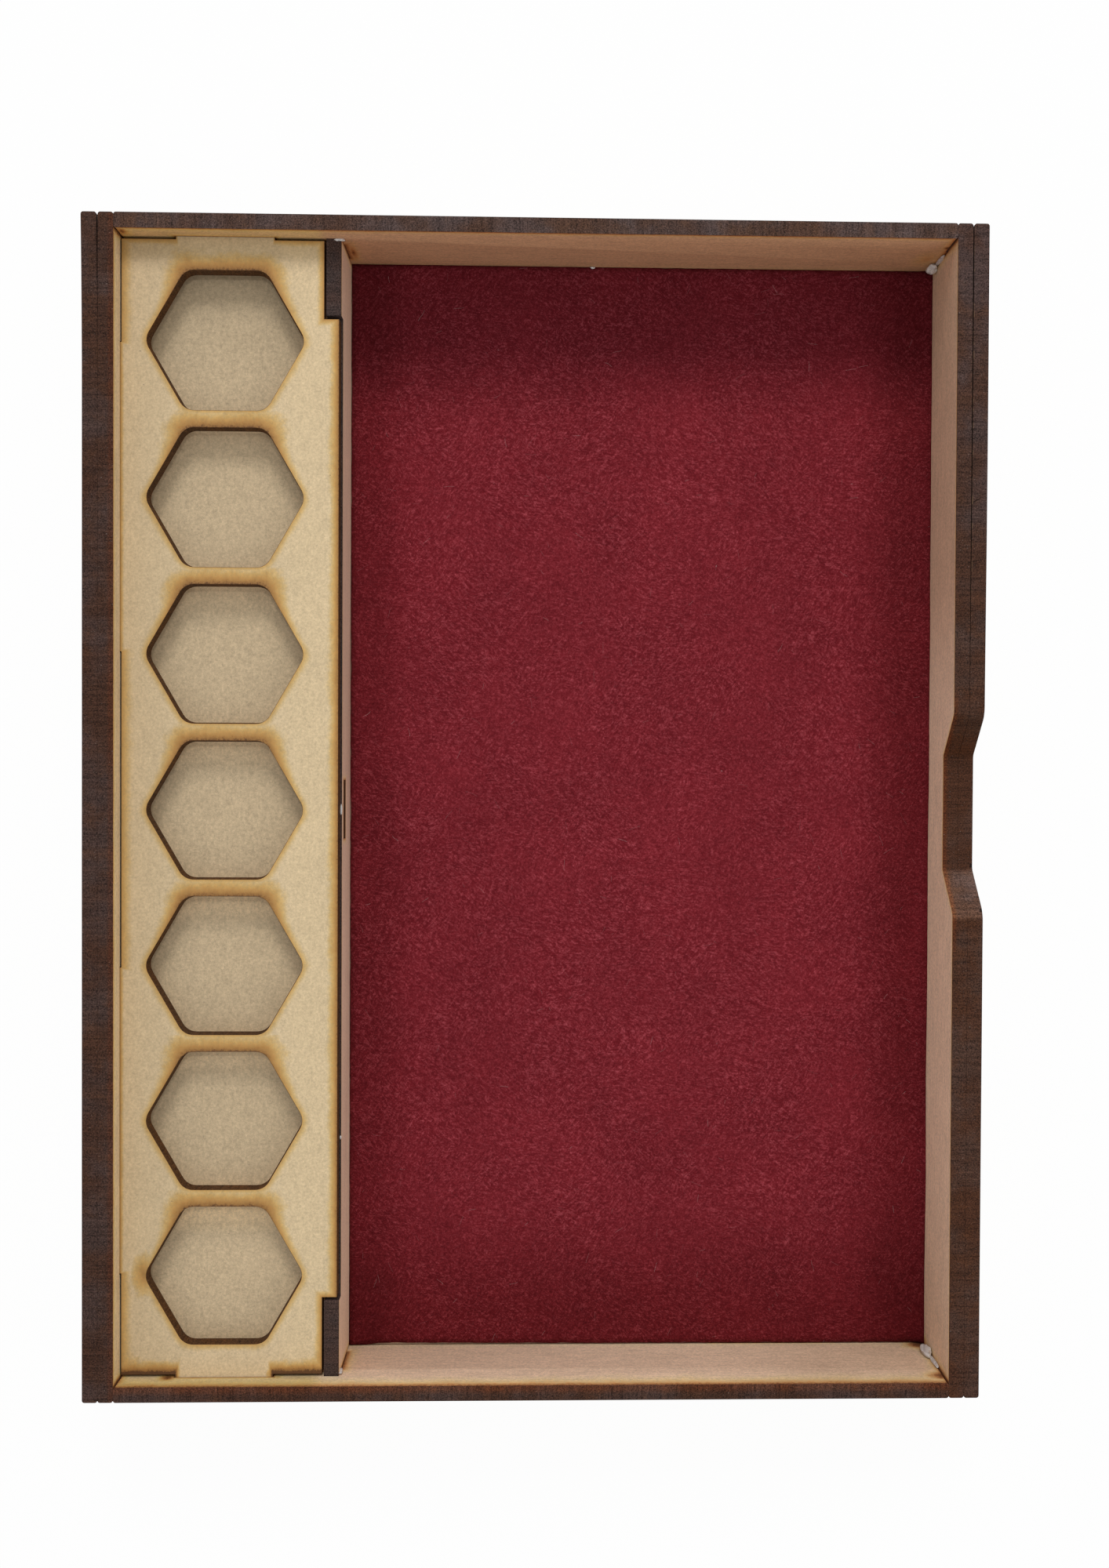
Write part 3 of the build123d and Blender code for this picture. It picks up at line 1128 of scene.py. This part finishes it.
@dataclass
class GlueTraces:
    """Drops of glue that came out of the joints."""

    finish: GlueFinish = GlueFinish()
    beads: tuple[Bead, ...] = (
        Bead("back_corner", (81.3, 112.1, 8.9), (1.2, 1, 1.7), 0.5, 1),
        Bead("back_corner_run", (81.95, 112.7, 13), (0.5, 0.35, 3.4), 0, 2),
        Bead("front_corner", (81.4, -112.1, 11), (0.95, 0.9, 2.9), 0.4, 3),
        Bead("front_corner_run", (81.95, -112.7, 15.8), (0.45, 0.4, 3.2), 0, 8),
        Bead("back_foot", (11.2, 112.75, 4.25), (0.5, 0.22, 0.22), 0, 4),
        Bead("shoulder_back", (-39.3, 112.75, 21.35), (1.1, 0.3, 0.35), 0, 5),
        Bead("shoulder_front", (-38.7, -112.55, 19.8), (0.4, 0.45, 1.3), 0, 6),
        Bead("divider_seam", (-39.05, 0.1, 18.5), (0.22, 1, 0.2), 0, 7),
        Bead("divider_fleck", (-39, -65.8, 18.5), (0.2, 0.4, 0.2), 0, 9),
    )
    roughness: float = 0.35
    grain: float = 0.12
    subdivisions: int = 4
    strides: Point = (7.3, 3.1, 1.7)

    def build(self) -> None:
        """Makes every drop, lumpy and drawn out."""
        material = self.finish.made()
        for bead in self.beads:
            shape = bmesh.new()
            bmesh.ops.create_icosphere(shape, subdivisions=self.subdivisions, radius=1.0)
            offset = Vector(bead.seed * stride for stride in self.strides)
            spin = Euler((0, 0, bead.turn)).to_matrix()
            for vertex in shape.verts:
                broad, fine = (noise.noise(vertex.co * scale + offset) for scale in (1.3, 4))
                lump = 1 + self.roughness * broad + self.grain * fine
                sized = Vector(c * lump * h for c, h in zip(vertex.co, bead.half))
                vertex.co = (spin @ sized + Vector(bead.middle)) * MM
            piece = drawn(f"glue_{bead.name}", shape)
            paint(piece, material)
            keep(piece)


@dataclass(frozen=True)
class Lamp:
    """A square lamp: its place and side in millimetres, and its power in watts."""

    name: str
    place: Point
    side: float
    power: float


@dataclass
class Studio:
    """Pale floor, white world, and lamps behind, above and to the right."""

    lamps: tuple[Lamp, ...] = (
        Lamp("key_lamp", (0, 1500, 1410), 600, 15.4),
        Lamp("top_lamp", (0, 118, 545), 30, 0.25),
        Lamp("side_lamp", (400, 0, 500), 400, 0.17),
    )
    aim: Point = (0, 0, 10)
    showing: tuple[str, ...] = ("Camera", "Glossy", "Transmission")
    ambient: float = 0.57
    floor_half: float = 2
    floor_colour: Colour = (0.86, 0.86, 0.86)
    floor_glow: float = 0.96

    def seen(self, tree: Tree) -> Value:
        """1 for rays that show the background: from the camera, off gloss and through glass."""
        path = tree.node("LightPath").outputs
        return reduce(Value.most, (Value(tree, path[f"Is {kind} Ray"]) for kind in self.showing))

    def build_floor(self) -> None:
        """Makes the floor, near white, with the object's shadow on it."""
        shape = bmesh.new()
        bmesh.ops.create_grid(shape, x_segments=1, y_segments=1, size=self.floor_half)
        floor = drawn("studio_floor", shape)
        s = Surface("studio_floor")
        matt = s.out("BsdfDiffuse", {"Color": (*self.floor_colour, 1)})
        glow = s.out("Emission", {"Color": WHITE, "Strength": 1.0})
        mixed = s.out("MixShader", {0: self.seen(s) * self.floor_glow, 1: matt, 2: glow})
        s.node("OutputMaterial", {0: mixed})
        floor.data.materials.append(s.material)

    def build_world(self) -> None:
        """Makes the world: white to look at, and a plain even light on the object."""
        world = bpy.data.worlds.new("studio_world")
        world.use_nodes = True
        t = Tree(world.node_tree)
        strength = self.seen(t) * (1 - self.ambient) + self.ambient
        t.node("OutputWorld", {0: t.out("Background", {"Color": WHITE, "Strength": strength})})
        bpy.context.scene.world = world

    def build(self) -> None:
        """Makes the floor, the world and the lamps."""
        self.build_floor()
        self.build_world()
        for lamp in self.lamps:
            light = bpy.data.lights.new(lamp.name, "AREA")
            light.shape, light.size, light.energy = "SQUARE", lamp.side * MM, lamp.power
            made = new_object(lamp.name, light)
            made.location = Vector(lamp.place) * MM
            made.rotation_euler = (Vector(self.aim) - Vector(lamp.place)).to_track_quat("-Z", "Y").to_euler()
        bpy.context.scene.view_settings.view_transform = "Standard"


@dataclass(frozen=True)
class PhotoCamera:
    """The camera that took the photograph, fitted to the corners of the box."""

    frame_size: tuple[int, int] = (1414, 2000)
    place: Point = (1.5194, 12.2804, 362.478)
    turn: Point = (0.0165, 0.0284, -0.0047)
    focal_pixels: float = 2183.15
    centre_pixels: Span = (755.76, 992.42)
    sensor: float = 36

    def build(self) -> None:
        """Makes the camera and lets the scene use it."""
        camera = bpy.data.cameras.new("photo_camera")
        long_side = max(self.frame_size)
        camera.sensor_width = self.sensor
        camera.lens = self.focal_pixels / long_side * self.sensor
        camera.shift_x = (self.frame_size[0] / 2 - self.centre_pixels[0]) / long_side
        camera.shift_y = (self.centre_pixels[1] - self.frame_size[1] / 2) / long_side
        camera.clip_start, camera.clip_end = 0.01, 20
        made = new_object("photo_camera", camera)
        turn = Vector(self.turn)
        seen_from = Matrix.Rotation(turn.length, 3, turn.normalized()).transposed()
        made.matrix_world = Matrix.Translation(Vector(self.place) * MM) @ seen_from.to_4x4()
        bpy.context.scene.camera = made


def main() -> None:
    """Builds the camera, the studio and every piece, in order."""
    logging.basicConfig(level=logging.INFO, format="%(message)s")
    for part in (PhotoCamera(), Studio(), BoxShell(), StorageStrip()):
        part.build()
    felt = FeltLining()
    felt.strew(felt.build())
    GlueTraces().build()


if __name__ == "__main__":
    main()
